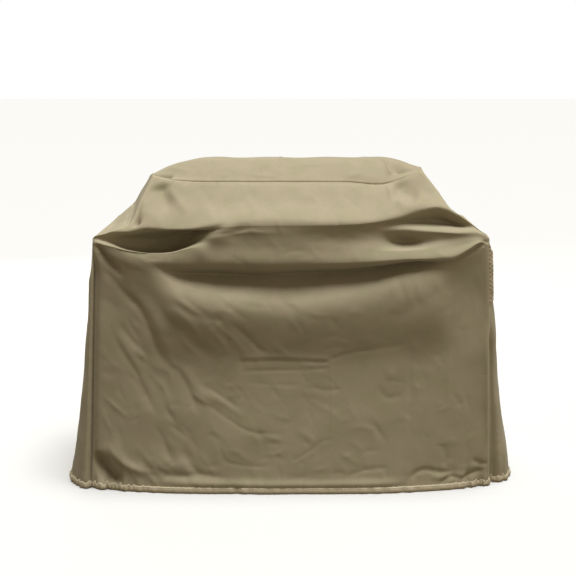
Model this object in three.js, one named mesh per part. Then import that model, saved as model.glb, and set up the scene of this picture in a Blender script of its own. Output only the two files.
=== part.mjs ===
// Stepped fabric cover for a barbecue grill with a hood and two side shelves, in the shape that it takes
// on the grill. Millimetres, +Z up, front towards -Y. The origin is on the floor, under the middle of the
// cover. Every sewn piece is a solid of its own: seven cut panels, four hem channels, the elastic inside
// each corner of the hem, and the bound seam allowances that stand along the inside of the seams.
import * as THREE from "three";

// Heights
const SHELF_HEIGHT = 889; // the outer edge of each side shelf
const STEP_HEIGHT = 940; // the foot of the hood, where the shoulder meets its end
const HOOD_SEAM_HEIGHT = 1068; // the seam round the roof
const ROOF_HEIGHT = 1130;

// Half widths, from the middle plane
const ROOF_FLAT_HALF_WIDTH = 360; // beyond this the roof bends down to its ends
const HOOD_HALF_WIDTH = 485;
const STEP_HALF_WIDTH = 555;
const SHELF_HALF_WIDTH = 670;
const HEM_SEAM_HALF_WIDTH = 710; // how far out the corner seams splay at the floor
const HEM_HALF_WIDTH = 800; // the widest point of the skirt, in the middle of each side

// Half depths, from the middle plane
const HOOD_FRONT_DEPTH = 170; // the hood leans back further at the front
const HOOD_BACK_DEPTH = 215;
const STEP_HALF_DEPTH = 272;
const SHELF_HALF_DEPTH = 295;
const HEM_SEAM_HALF_DEPTH = 240;
const HEM_HALF_DEPTH = 335; // the middle of the front and of the back, at the floor
const ROOF_FLAT_SHARE = 0.3; // share of the roof's depth that is level

// How the skirt's sections curve
const FLARE_POWER = 1.5; // how late the skirt swings out on its way down
const FACE_ROUNDING = 3; // the front and the back bow out as a cubic arc
const END_ROUNDING = 5; // the sides stay full nearly to their seams

// Slack cloth that hangs forward between the two front corners of the shelves
const SLACK_DEPTH = 55;
const SLACK_BOTTOM = 745;
const SLACK_TOP = 965;

// Cloth and trimmings
const CLOTH = 2;
const SEAM_GAP = 2.4; // each panel stops this far short of its seam line
const HEM_HEIGHT = 28;
const HEM_WIDTH = 10; // across both plies of the channel
const HEM_PLY = 1.5;
const HEM_END_GAP = 4;
const PANEL_EDGE_HEIGHT = 14; // the panels end here, between the plies of the hem
const ELASTIC_REACH = 190; // how far each elastic runs from its corner, both ways
const ELASTIC_THICKNESS = 3;
const ELASTIC_BOTTOM = 3.5;
const ELASTIC_TOP = 11.5;
const BINDING_OFFSET = 6; // from the seam line to the near edge of the binding
const BINDING_WIDTH = 9;
const BINDING_THICKNESS = 1.6;
const BINDING_END_GAP = 22; // the cross seams' bindings stop this far short of the long ones
const BINDING_HEM_GAP = 6; // the long ones stop this far above the hem

const { lerp, clamp, smoothstep } = THREE.MathUtils;
const point = (x, y, z) => new THREE.Vector3(x, y, z);
const UP = point(0, 0, 1);

// The values from a start through spans of [steps, end], such as 0, 5, 10, 11, 12 from 0, [2, 10], [2, 12].
function stops(start, ...spans) {
  const values = [start];
  for (const [steps, end] of spans) {
    const from = values.at(-1);
    for (let i = 1; i <= steps; i++) values.push(lerp(from, end, i / steps));
  }
  return values;
}

// ---- the surface that the cloth follows ------------------------------------------------------
// side is -1 for the front and the left, and 1 for the back and the right. A share runs from -1 to 1.

const hoodDepth = (side) => (side < 0 ? HOOD_FRONT_DEPTH : HOOD_BACK_DEPTH);

// Half width and depths of the front or back panel at a height: at its seams, and at its fullest.
function faceSection(side, z) {
  if (z <= SHELF_HEIGHT) {
    const drop = Math.min(1 - z / SHELF_HEIGHT, 1);
    return {
      halfWidth: lerp(SHELF_HALF_WIDTH, HEM_SEAM_HALF_WIDTH, drop),
      seamDepth: lerp(SHELF_HALF_DEPTH, HEM_SEAM_HALF_DEPTH, Math.pow(drop, FLARE_POWER)),
      fullDepth: lerp(SHELF_HALF_DEPTH, HEM_HALF_DEPTH, drop),
    };
  }
  if (z <= STEP_HEIGHT) {
    const rise = (z - SHELF_HEIGHT) / (STEP_HEIGHT - SHELF_HEIGHT);
    return {
      halfWidth: lerp(SHELF_HALF_WIDTH, STEP_HALF_WIDTH, rise),
      seamDepth: lerp(SHELF_HALF_DEPTH, STEP_HALF_DEPTH, rise),
      fullDepth: SHELF_HALF_DEPTH,
    };
  }
  const rise = (z - STEP_HEIGHT) / (HOOD_SEAM_HEIGHT - STEP_HEIGHT);
  return {
    halfWidth: lerp(STEP_HALF_WIDTH, HOOD_HALF_WIDTH, rise),
    seamDepth: lerp(STEP_HALF_DEPTH, hoodDepth(side), rise),
    fullDepth: lerp(SHELF_HALF_DEPTH, hoodDepth(side), rise),
  };
}

// How far the slack front hangs forward of the shelf.
function slack(side, across, z) {
  if (side > 0) return 0;
  const height = clamp((z - SLACK_BOTTOM) / (SLACK_TOP - SLACK_BOTTOM), 0, 1);
  return SLACK_DEPTH * (1 - across * across) * Math.pow(Math.sin(Math.PI * height), 2);
}

// The front or back panel, across from the left seam to the right one.
function face(side, across, z) {
  const section = faceSection(side, z);
  const bow = 1 - Math.pow(Math.abs(across), FACE_ROUNDING);
  const depth = lerp(section.seamDepth, section.fullDepth, bow) + slack(side, across, z);
  return point(across * section.halfWidth, side * depth, z);
}

// The left or right skirt, along from the front seam to the back one.
function end(side, along, z) {
  const section = faceSection(1, z);
  const drop = clamp(1 - z / SHELF_HEIGHT, 0, 1);
  const fullWidth = lerp(SHELF_HALF_WIDTH, HEM_HALF_WIDTH, Math.pow(drop, FLARE_POWER));
  const bow = 1 - Math.pow(Math.abs(along), END_ROUNDING);
  return point(side * lerp(section.halfWidth, fullWidth, bow), along * section.seamDepth, z);
}

// The shoulder over a side shelf, out from the step (0) to the shelf's edge (1).
function shoulder(side, out, along) {
  const x = side * lerp(STEP_HALF_WIDTH, SHELF_HALF_WIDTH, out);
  const y = along * lerp(STEP_HALF_DEPTH, SHELF_HALF_DEPTH, out);
  return point(x, y, lerp(STEP_HEIGHT, SHELF_HEIGHT, out));
}

// The end of the hood, at a height between the step and the roof.
function hoodEnd(side, along, z) {
  const section = faceSection(along < 0 ? -1 : 1, z);
  return point(side * section.halfWidth, along * section.seamDepth, z);
}

// The roof is level in the middle and falls to its four seams.
function roof(x, along) {
  const fall = Math.max(Math.abs(along) - ROOF_FLAT_SHARE, 0) / (1 - ROOF_FLAT_SHARE);
  const level = 1 - smoothstep(Math.abs(x), ROOF_FLAT_HALF_WIDTH, HOOD_HALF_WIDTH);
  const z = lerp(HOOD_SEAM_HEIGHT, ROOF_HEIGHT, level * (1 - fall * fall));
  return point(x, along * hoodDepth(along), z);
}

// ---- closed solids ---------------------------------------------------------------------------

// Moves every vertex of a geometry by a rule.
function warp(geometry, rule) {
  const place = geometry.getAttribute("position");
  for (let i = 0; i < place.count; i++) {
    const moved = rule(place.getX(i), place.getY(i), place.getZ(i));
    place.setXYZ(i, moved.x, moved.y, moved.z);
  }
  geometry.computeVertexNormals();
  return geometry;
}

// A sheet of cloth. surface(u, v) is its outer face at the columns' and rows' values, and u x v faces out.
function sheet(surface, columns, rows) {
  const stock = new THREE.BoxGeometry(1, 1, 1, columns.length - 1, rows.length - 1, 1);
  const uStep = (columns.at(-1) - columns[0]) / 1000;
  const vStep = (rows.at(-1) - rows[0]) / 1000;
  return warp(stock, (x, y, z) => {
    const u = columns[Math.round((x + 0.5) * (columns.length - 1))];
    const v = rows[Math.round((y + 0.5) * (rows.length - 1))];
    const alongU = surface(u + uStep, v).sub(surface(u - uStep, v));
    const alongV = surface(u, v + vStep).sub(surface(u, v - vStep));
    const outwards = alongU.cross(alongV).normalize();
    return surface(u, v).addScaledVector(outwards, (z - 0.5) * CLOTH);
  });
}

// Unit direction of a path at one of its points, halfway between the stretches before and after it.
function heading(path, i) {
  const before = path[Math.max(i - 1, 0)];
  const after = path[Math.min(i + 1, path.length - 1)];
  const arriving = path[i].clone().sub(before).normalize();
  const leaving = after.clone().sub(path[i]).normalize();
  return arriving.add(leaving).normalize();
}

// A bar swept along a level path that runs clockwise seen from above, its section outwards and upwards.
function levelBar(outline, path) {
  const section = new THREE.Shape(outline.map(([out, up]) => new THREE.Vector2(out, up)));
  const steps = path.length - 1;
  const stock = new THREE.ExtrudeGeometry(section, { depth: 1, steps, bevelEnabled: false });
  return warp(stock, (out, up, t) => {
    const i = Math.round(t * steps);
    const outwards = UP.clone().cross(heading(path, i));
    return path[i].clone().addScaledVector(outwards, out).addScaledVector(UP, up);
  });
}

// A flat tape that stands in from a seam. inwards(i) is the way in from the path's point i.
function tape(path, inwards) {
  const stock = new THREE.BoxGeometry(1, 1, 1, path.length - 1, 1, 1);
  return warp(stock, (x, y, z) => {
    const i = Math.round((x + 0.5) * (path.length - 1));
    const inward = inwards(i);
    const flat = heading(path, i).cross(inward).normalize();
    const reach = BINDING_OFFSET + (y + 0.5) * BINDING_WIDTH;
    return path[i].clone().addScaledVector(inward, reach).addScaledVector(flat, z * BINDING_THICKNESS);
  });
}

// ---- nodes -----------------------------------------------------------------------------------

const clothMaterial = new THREE.MeshStandardMaterial({ color: 0x8c8063, roughness: 0.85, metalness: 0 });
const hemMaterial = new THREE.MeshStandardMaterial({ color: 0x9c9075, roughness: 0.85, metalness: 0 });
const bindingMaterial = new THREE.MeshStandardMaterial({ color: 0xa39a78, roughness: 0.9, metalness: 0 });
const elasticMaterial = new THREE.MeshStandardMaterial({ color: 0x2b2a28, roughness: 0.7, metalness: 0 });

const ENDS = [["left", -1], ["right", 1]];
const FACES = [["front", -1], ["back", 1]];
const cover = new THREE.Group();

function add(name, geometry, material) {
  const mesh = new THREE.Mesh(geometry, material);
  mesh.name = name;
  cover.add(mesh);
}

// The share at which a panel of a half length stops, a gap short of its seam.
const shareShortOf = (halfLength, gap) => 1 - gap / halfLength;

// The shares along a side of the skirt, closer together where it turns in to its seams.
const END_TURN_SHARE = 0.6;
const endShares = (edge) => stops(-edge, [5, -END_TURN_SHARE], [4, END_TURN_SHARE], [5, edge]);

// ---- panels ----------------------------------------------------------------------------------

// The front and the back, each cut in one stepped piece from the hem to the roof. Seen from outside,
// the columns run to the right. The rows gather towards the shelf, where the slack hangs.
const FACE_EDGE = shareShortOf(HOOD_HALF_WIDTH, SEAM_GAP);
const FACE_COLUMNS = stops(-FACE_EDGE, [20, FACE_EDGE]);
const FACE_ROWS = stops(
  PANEL_EDGE_HEIGHT,
  [5, SLACK_BOTTOM],
  [4, SHELF_HEIGHT],
  [1, STEP_HEIGHT],
  [3, HOOD_SEAM_HEIGHT - SEAM_GAP],
);
for (const [name, side] of FACES) {
  const surface = (u, z) => face(side, -side * u, z);
  add(`${name}_panel`, sheet(surface, FACE_COLUMNS, FACE_ROWS), clothMaterial);
}

// The sides, from the shelf's edge to the hem.
const END_EDGE = shareShortOf(HEM_SEAM_HALF_DEPTH, SEAM_GAP);
const END_COLUMNS = endShares(END_EDGE);
const END_ROWS = stops(PANEL_EDGE_HEIGHT, [7, SHELF_HEIGHT - SEAM_GAP]);
for (const [name, side] of ENDS) {
  const surface = (u, z) => end(side, side * u, z);
  add(`${name}_side_panel`, sheet(surface, END_COLUMNS, END_ROWS), clothMaterial);
}

// The shoulders, from the foot of the hood to the shelf's edge.
const SHOULDER_EDGE = SEAM_GAP / (SHELF_HALF_WIDTH - STEP_HALF_WIDTH);
const SHOULDER_COLUMNS = stops(SHOULDER_EDGE, [2, 1 - SHOULDER_EDGE]);
const SHOULDER_ROWS = stops(-END_EDGE, [4, END_EDGE]);
for (const [name, side] of ENDS) {
  const surface = (out, along) => shoulder(side, out, side * along);
  add(`${name}_shoulder_panel`, sheet(surface, SHOULDER_COLUMNS, SHOULDER_ROWS), clothMaterial);
}

// The hood: one strip up the left end, over the roof and down the right end. Its column value is x on
// the roof, and beyond the roof's ends it counts on by the height below the roof's seam.
const HOOD_DROP = HOOD_SEAM_HEIGHT - STEP_HEIGHT - SEAM_GAP;
const HOOD_EDGE = shareShortOf(HOOD_FRONT_DEPTH, SEAM_GAP);
const HOOD_COLUMNS = stops(
  -HOOD_HALF_WIDTH - HOOD_DROP,
  [2, -HOOD_HALF_WIDTH],
  [3, -ROOF_FLAT_HALF_WIDTH],
  [4, ROOF_FLAT_HALF_WIDTH],
  [3, HOOD_HALF_WIDTH],
  [2, HOOD_HALF_WIDTH + HOOD_DROP],
);
const HOOD_ROWS = stops(-HOOD_EDGE, [3, -ROOF_FLAT_SHARE], [2, ROOF_FLAT_SHARE], [3, HOOD_EDGE]);
function hood(u, along) {
  const beyond = Math.abs(u) - HOOD_HALF_WIDTH;
  return beyond > 0 ? hoodEnd(Math.sign(u), along, HOOD_SEAM_HEIGHT - beyond) : roof(u, along);
}
add("hood_panel", sheet(hood, HOOD_COLUMNS, HOOD_ROWS), clothMaterial);

// ---- hem -------------------------------------------------------------------------------------

// The hem's middle line on the floor lies under the middle of the panels' lower edges. Both lines run
// clockwise seen from above as the share grows.
const HEM_LINE_HEIGHT = (PANEL_EDGE_HEIGHT + HEM_HEIGHT) / 2;
function faceHemLine(side, share) {
  const outer = face(side, side * share, HEM_LINE_HEIGHT);
  return point(outer.x, outer.y - side * CLOTH / 2, 0);
}
function endHemLine(side, share) {
  const outer = end(side, -side * share, HEM_LINE_HEIGHT);
  return point(outer.x - side * CLOTH / 2, outer.y, 0);
}

// The channel seen end on: the cloth folded up into two plies, open at the top where the panel enters.
const HALF_CHANNEL = HEM_WIDTH / 2;
const HALF_SPACE = HALF_CHANNEL - HEM_PLY;
const CHANNEL = [
  [HALF_CHANNEL, 0],
  [HALF_CHANNEL, HEM_HEIGHT],
  [HALF_SPACE, HEM_HEIGHT],
  [HALF_SPACE, HEM_PLY],
  [-HALF_SPACE, HEM_PLY],
  [-HALF_SPACE, HEM_HEIGHT],
  [-HALF_CHANNEL, HEM_HEIGHT],
  [-HALF_CHANNEL, 0],
];
const FACE_HEM_EDGE = shareShortOf(HEM_SEAM_HALF_WIDTH, HEM_END_GAP);
for (const [name, side] of FACES) {
  const path = stops(-FACE_HEM_EDGE, [28, FACE_HEM_EDGE]).map((share) => faceHemLine(side, share));
  add(`${name}_hem_channel`, levelBar(CHANNEL, path), hemMaterial);
}
const END_HEM_EDGE = shareShortOf(HEM_SEAM_HALF_DEPTH, HEM_END_GAP);
for (const [name, side] of ENDS) {
  const path = endShares(END_HEM_EDGE).map((share) => endHemLine(side, share));
  add(`${name}_hem_channel`, levelBar(CHANNEL, path), hemMaterial);
}

// Flat elastic, sewn into the hem round each corner of the skirt.
const HALF_ELASTIC = ELASTIC_THICKNESS / 2;
const ELASTIC = [
  [HALF_ELASTIC, ELASTIC_BOTTOM],
  [HALF_ELASTIC, ELASTIC_TOP],
  [-HALF_ELASTIC, ELASTIC_TOP],
  [-HALF_ELASTIC, ELASTIC_BOTTOM],
];
const FACE_ELASTIC = stops(shareShortOf(HEM_SEAM_HALF_WIDTH, ELASTIC_REACH), [7, FACE_HEM_EDGE]);
const END_ELASTIC = stops(shareShortOf(HEM_SEAM_HALF_DEPTH, ELASTIC_REACH), [9, END_HEM_EDGE]);
for (const [faceName, faceSide] of FACES) {
  for (const [endName, endSide] of ENDS) {
    const turn = faceSide * endSide;
    const onFace = FACE_ELASTIC.map((share) => faceHemLine(faceSide, turn * share));
    const onEnd = END_ELASTIC.map((share) => endHemLine(endSide, -turn * share));
    const path = turn > 0 ? [...onFace, ...onEnd.reverse()] : [...onEnd, ...onFace.reverse()];
    add(`${faceName}_${endName}_hem_elastic`, levelBar(ELASTIC, path), elasticMaterial);
  }
}

// ---- bound seam allowances -------------------------------------------------------------------

// The long seam of the front or back panel: up its left edge, along the roof, and down its right edge.
const SEAM_HEIGHTS = stops(
  HEM_HEIGHT + BINDING_HEM_GAP,
  [7, SHELF_HEIGHT],
  [2, STEP_HEIGHT],
  [2, HOOD_SEAM_HEIGHT],
);
for (const [name, side] of FACES) {
  const left = SEAM_HEIGHTS.map((z) => face(side, -1, z));
  const right = SEAM_HEIGHTS.map((z) => face(side, 1, z)).reverse();
  const roofSeam = stops(-HOOD_HALF_WIDTH, [6, HOOD_HALF_WIDTH]).map((x) => roof(x, side));
  const path = [...left, ...roofSeam.slice(1, -1), ...right];
  const inwards = (i) => {
    const ahead = heading(path, i);
    return point(ahead.z, -side * Math.hypot(ahead.x, ahead.z), -ahead.x).normalize();
  };
  add(`${name}_seam_binding`, tape(path, inwards), bindingMaterial);
}

// The cross seams: the step at the foot of each end of the hood, and the edge over each shelf. The faces
// that meet at a seam are given by their outward normals on the right side.
const outward = (x, z) => point(x, 0, z).normalize();
const HOOD_END_NORMAL = outward(HOOD_SEAM_HEIGHT - STEP_HEIGHT, STEP_HALF_WIDTH - HOOD_HALF_WIDTH);
const SHOULDER_NORMAL = outward(STEP_HEIGHT - SHELF_HEIGHT, SHELF_HALF_WIDTH - STEP_HALF_WIDTH);
const SIDE_NORMAL = outward(1, 0);
function crossBinding(side, out, upperNormal, lowerNormal) {
  const seam = shoulder(side, out, 1);
  const halfLength = seam.y - BINDING_END_GAP;
  const path = stops(-halfLength, [3, halfLength]).map((y) => point(seam.x, y, seam.z));
  const outwards = upperNormal.clone().add(lowerNormal);
  const inward = point(-side * outwards.x, 0, -outwards.z).normalize();
  return tape(path, () => inward);
}
for (const [name, side] of ENDS) {
  const step = crossBinding(side, 0, HOOD_END_NORMAL, SHOULDER_NORMAL);
  const shelf = crossBinding(side, 1, SHOULDER_NORMAL, SIDE_NORMAL);
  add(`${name}_step_seam_binding`, step, bindingMaterial);
  add(`${name}_shelf_seam_binding`, shelf, bindingMaterial);
}

export default cover;
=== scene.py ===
import math

import bpy
import numpy as np
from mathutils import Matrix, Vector


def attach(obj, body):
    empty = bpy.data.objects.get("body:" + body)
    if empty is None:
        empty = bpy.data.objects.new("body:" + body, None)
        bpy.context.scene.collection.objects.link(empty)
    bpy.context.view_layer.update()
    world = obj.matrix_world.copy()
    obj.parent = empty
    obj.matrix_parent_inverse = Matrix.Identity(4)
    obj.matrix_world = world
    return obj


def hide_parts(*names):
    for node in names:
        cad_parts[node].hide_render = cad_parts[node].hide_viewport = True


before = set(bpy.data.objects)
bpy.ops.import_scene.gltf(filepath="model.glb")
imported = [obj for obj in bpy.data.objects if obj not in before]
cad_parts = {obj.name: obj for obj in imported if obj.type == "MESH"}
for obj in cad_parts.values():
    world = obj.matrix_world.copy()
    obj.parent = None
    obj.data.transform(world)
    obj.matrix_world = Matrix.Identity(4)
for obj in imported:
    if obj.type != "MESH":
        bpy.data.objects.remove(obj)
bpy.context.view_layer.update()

# ---- the form that the cloth hangs on, in metres ---------------------------------------------
# +X is to the right and -Y to the front.

HEM_EDGE = 0.014  # the panels end here, inside the hem
SHELF = 0.889
ROOF = 1.138
ROOF_FLAT_X = 0.3  # half the width of the roof's level part
HOOD_X = 0.5
HEM_SEAM_X = 0.71
HEM_SEAM_Y = 0.24
HEM_FRONT_LEFT_Y = 0.275  # the front left corner stands further out
HEM_FRONT_RIGHT_Y = 0.23
HEM_FULL_X = 0.797
HEM_FULL_Y = 0.333
SHELF_X = 0.67
SHELF_Y = 0.295
FLARE_POWER = 1.5
SIDE_SWELL_RATE = 9  # how soon a side swells out below its shelf
SIDE_SWELL_HIGH = 0.28  # the share of the swell that comes just below the shelf
SHOULDER_SAG = 0.012
ROOF_LEVEL = 0.3  # the share of the roof's depth that is level
CLOTH = 0.0012  # the cloth's thickness

STEP_LEFT = (-0.552, -0.276, 0.932)
STEP_RIGHT = (0.545, -0.264, 0.983)
HOOD_LEFT = (-0.478, -0.152, 1.092)
HOOD_RIGHT = (0.452, -0.15, 1.108)
STEP_BACK_LEFT = (-0.603, 0.276, 0.947)
STEP_BACK_RIGHT = (0.56, 0.276, 0.947)
HOOD_BACK_LEFT = (-0.525, 0.2, 1.06)
HOOD_BACK_RIGHT = (0.485, 0.2, 1.072)

LINE_STEPS = [19, 18, 17, 10, 6, 6, 5, 3, 3, 4, 6, 6]  # mesh rows from each fold line to the next
COLUMNS = 114  # mesh columns across the front and the back
DEPTH_COLUMNS = 46  # mesh columns from the front seam to the back seam
ROWS = sum(LINE_STEPS)
SHELF_ROW = sum(LINE_STEPS[:7])
STEP_ROW = sum(LINE_STEPS[:10])


# ---- smooth curves through a few points ------------------------------------------------------

def slopes_at(points, gaps):
    """Slopes of a smooth curve at its points, which are gaps apart."""
    slope = (points[1:] - points[:-1]) / gaps
    inner = (slope[1:] * gaps[:-1] + slope[:-1] * gaps[1:]) / (gaps[1:] + gaps[:-1])
    return np.concatenate([slope[:1], inner, slope[-1:]])


def stretch(start, end, start_slope, end_slope, length, share):
    """A cubic stretch of a curve from start to end, at each share of its length."""
    at_start = (1 + 2 * share) * (1 - share) ** 2
    leaving = share * (1 - share) ** 2
    at_end = share * share * (3 - 2 * share)
    arriving = share * share * (share - 1)
    return (at_start * start + leaving * length * start_slope
            + at_end * end + arriving * length * end_slope)


def curve(points, x):
    """A smooth curve y(x) through the points (x, y, ...), for each value of x."""
    points = np.array(points, float)
    gaps = np.diff(points[:, 0])
    slopes = slopes_at(points[:, 1:], gaps[:, None])
    leg = np.clip(np.searchsorted(points[:, 0], x, side="right") - 1, 0, len(gaps) - 1)
    share = ((x - points[leg, 0]) / gaps[leg])[:, None]
    length = gaps[leg][:, None]
    return stretch(points[leg, 1:], points[leg + 1, 1:], slopes[leg], slopes[leg + 1], length, share)


def loft(lines, counts, softness):
    """Rows of points through the lines, with counts[i] steps from line i to line i + 1.

    softness is 1 where a line is passed in a smooth curve, and less where the cloth turns sharply on it.
    """
    rows = []
    gaps = np.linalg.norm(lines[1:] - lines[:-1], axis=2)[:, :, None]
    slopes = slopes_at(lines, gaps) * softness[..., None]
    for i, count in enumerate(counts):
        for share in np.arange(count) / count:
            rows.append(stretch(lines[i], lines[i + 1], slopes[i], slopes[i + 1], gaps[i], share))
    rows.append(lines[-1])
    return np.array(rows)


# ---- the front panel's fold lines ------------------------------------------------------------
# Each line runs from the left seam to the right one, through points (x, y, z).

def seam_x(z):
    return SHELF_X + (HEM_SEAM_X - SHELF_X) * (1 - z / SHELF)


def seam_y(z, hem_y=HEM_SEAM_Y):
    return SHELF_Y + (hem_y - SHELF_Y) * (1 - z / SHELF) ** FLARE_POWER


def skirt_line(z, side, left_y=HEM_SEAM_Y, right_y=HEM_SEAM_Y):
    """A level line of the skirt on the front (side -1) or the back (side 1)."""
    half = seam_x(z)
    full_y = SHELF_Y + (HEM_FULL_Y - SHELF_Y) * (1 - z / SHELF)
    points = []
    for a in np.linspace(-1, 1, 13):
        end_y = seam_y(z, left_y if a < 0 else right_y)
        points.append((half * a, side * (end_y + (full_y - end_y) * (1 - abs(a) ** 3)), z))
    return points


def front_skirt_line(z):
    return skirt_line(z, -1, HEM_FRONT_LEFT_Y, HEM_FRONT_RIGHT_Y)


def from_corner(z, points):
    """A front line that leaves the corner seams at a height z and runs through the points between them."""
    left = (-seam_x(z), -seam_y(z, HEM_FRONT_LEFT_Y), z)
    right = (seam_x(z), -seam_y(z, HEM_FRONT_RIGHT_Y), z)
    return [left, *points, right]


def between(a, b, share):
    return tuple(p + (q - p) * share for p, q in zip(a, b))


SHELF_LEFT = (-SHELF_X, -SHELF_Y, SHELF)
SHELF_RIGHT = (SHELF_X, -SHELF_Y, SHELF)

FRONT_LINES = [
    front_skirt_line(HEM_EDGE),
    front_skirt_line(0.24),
    front_skirt_line(0.46),
    # the swell under the swag
    from_corner(0.846, [
        (-0.64, -0.304, 0.832), (-0.58, -0.317, 0.8), (-0.51, -0.328, 0.78), (-0.46, -0.334, 0.768),
        (-0.415, -0.335, 0.752), (-0.374, -0.335, 0.732), (-0.27, -0.337, 0.706), (-0.138, -0.34, 0.68),
        (0.0, -0.338, 0.671), (0.13, -0.337, 0.685), (0.27, -0.329, 0.725), (0.4, -0.314, 0.775),
        (0.5, -0.313, 0.794), (0.56, -0.314, 0.81), (0.6, -0.31, 0.832), (0.64, -0.302, 0.857),
    ]),
    # the tuck under the swag
    from_corner(0.856, [
        (-0.64, -0.306, 0.849), (-0.58, -0.323, 0.826), (-0.51, -0.334, 0.805), (-0.46, -0.333, 0.793),
        (-0.415, -0.32, 0.781), (-0.374, -0.298, 0.771), (-0.32, -0.282, 0.768), (-0.27, -0.274, 0.765),
        (-0.138, -0.264, 0.761), (0.0, -0.262, 0.765), (0.13, -0.262, 0.77), (0.266, -0.266, 0.784),
        (0.4, -0.28, 0.806), (0.5, -0.305, 0.811), (0.55, -0.316, 0.82), (0.6, -0.314, 0.844),
        (0.64, -0.304, 0.867),
    ]),
    # the swag's lower rim
    from_corner(0.864, [
        (-0.64, -0.307, 0.862), (-0.58, -0.323, 0.848), (-0.51, -0.334, 0.829), (-0.45, -0.338, 0.816),
        (-0.38, -0.338, 0.808), (-0.3, -0.337, 0.806), (-0.2, -0.337, 0.806), (-0.04, -0.338, 0.806),
        (0.2, -0.341, 0.812), (0.38, -0.342, 0.824), (0.5, -0.337, 0.827), (0.56, -0.331, 0.834),
        (0.6, -0.322, 0.857), (0.64, -0.308, 0.877),
    ]),
    # the swag's crest
    from_corner(0.874, [
        (-0.62, -0.314, 0.868), (-0.55, -0.325, 0.853), (-0.46, -0.331, 0.844), (-0.41, -0.334, 0.846),
        (-0.36, -0.335, 0.857), (-0.3, -0.336, 0.87), (-0.2, -0.337, 0.87), (0.0, -0.337, 0.866),
        (0.13, -0.334, 0.858), (0.2, -0.332, 0.854), (0.3, -0.328, 0.85), (0.38, -0.328, 0.852),
        (0.5, -0.32, 0.862), (0.58, -0.312, 0.872), (0.64, -0.302, 0.883),
    ]),
    # the lower hollow
    [
        SHELF_LEFT, (-0.6, -0.258, 0.868), (-0.53, -0.226, 0.85), (-0.46, -0.212, 0.841),
        (-0.4, -0.216, 0.847), (-0.34, -0.27, 0.868), (-0.28, -0.33, 0.892), (-0.18, -0.338, 0.9),
        (0.0, -0.338, 0.9), (0.12, -0.327, 0.898), (0.2, -0.319, 0.894), (0.3, -0.305, 0.884),
        (0.38, -0.268, 0.876), (0.46, -0.298, 0.882), (0.56, -0.305, 0.893), SHELF_RIGHT,
    ],
    # the middle ridge
    [
        between(SHELF_LEFT, STEP_LEFT, 0.34), (-0.59, -0.262, 0.89), (-0.55, -0.236, 0.884),
        (-0.5, -0.214, 0.877), (-0.42, -0.206, 0.874), (-0.35, -0.24, 0.888), (-0.28, -0.324, 0.906),
        (-0.18, -0.34, 0.913), (0.0, -0.339, 0.913), (0.12, -0.329, 0.911), (0.2, -0.321, 0.912),
        (0.3, -0.307, 0.915), (0.38, -0.308, 0.919), (0.46, -0.311, 0.917), (0.58, -0.304, 0.911),
        between(SHELF_RIGHT, STEP_RIGHT, 0.28),
    ],
    # the upper hollow
    [
        between(SHELF_LEFT, STEP_LEFT, 0.67), (-0.565, -0.29, 0.911), (-0.53, -0.284, 0.907),
        (-0.49, -0.258, 0.904), (-0.44, -0.232, 0.901), (-0.38, -0.226, 0.902), (-0.33, -0.25, 0.91),
        (-0.27, -0.322, 0.92), (-0.16, -0.34, 0.924), (0.0, -0.34, 0.924), (0.12, -0.333, 0.924),
        (0.2, -0.325, 0.927), (0.3, -0.311, 0.935), (0.38, -0.286, 0.94), (0.46, -0.244, 0.94),
        (0.52, -0.226, 0.936), (0.57, -0.242, 0.929), between(SHELF_RIGHT, STEP_RIGHT, 0.56),
    ],
    # the edge over the hollows, where the hood's front turns down
    [
        STEP_LEFT, (-0.49, -0.29, 0.926), (-0.42, -0.3, 0.921), (-0.36, -0.311, 0.922),
        (-0.29, -0.332, 0.929), (-0.22, -0.34, 0.934), (-0.14, -0.342, 0.938), (0.0, -0.341, 0.94),
        (0.13, -0.337, 0.94), (0.22, -0.33, 0.943), (0.3, -0.321, 0.951), (0.37, -0.306, 0.965),
        (0.44, -0.288, 0.984), (0.5, -0.276, 0.992), STEP_RIGHT,
    ],
    # half way up the hood's front
    [
        between(STEP_LEFT, HOOD_LEFT, 0.5), (-0.4, -0.236, 1.004), (-0.2, -0.244, 1.008),
        (0.0, -0.245, 1.009), (0.2, -0.242, 1.011), (0.38, -0.226, 1.03),
        between(STEP_RIGHT, HOOD_RIGHT, 0.5),
    ],
    # the roof seam
    [
        HOOD_LEFT, (-0.43, -0.163, 1.08), (-0.36, -0.17, 1.073), (-0.2, -0.174, 1.071),
        (0.0, -0.175, 1.071), (0.2, -0.173, 1.07), (0.33, -0.168, 1.066), (0.39, -0.159, 1.085),
        HOOD_RIGHT,
    ],
]


def bowed(left, right, a, y, z):
    """A point from left, where a is -1, to right, where a is 1, by way of a middle at y and z."""
    x0, y0, z0 = between(left, right, (a + 1) / 2)
    return x0, y0 + (y - y0) * (1 - a ** 4), z0 + (z - z0) * (1 - a ** 4)


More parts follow.
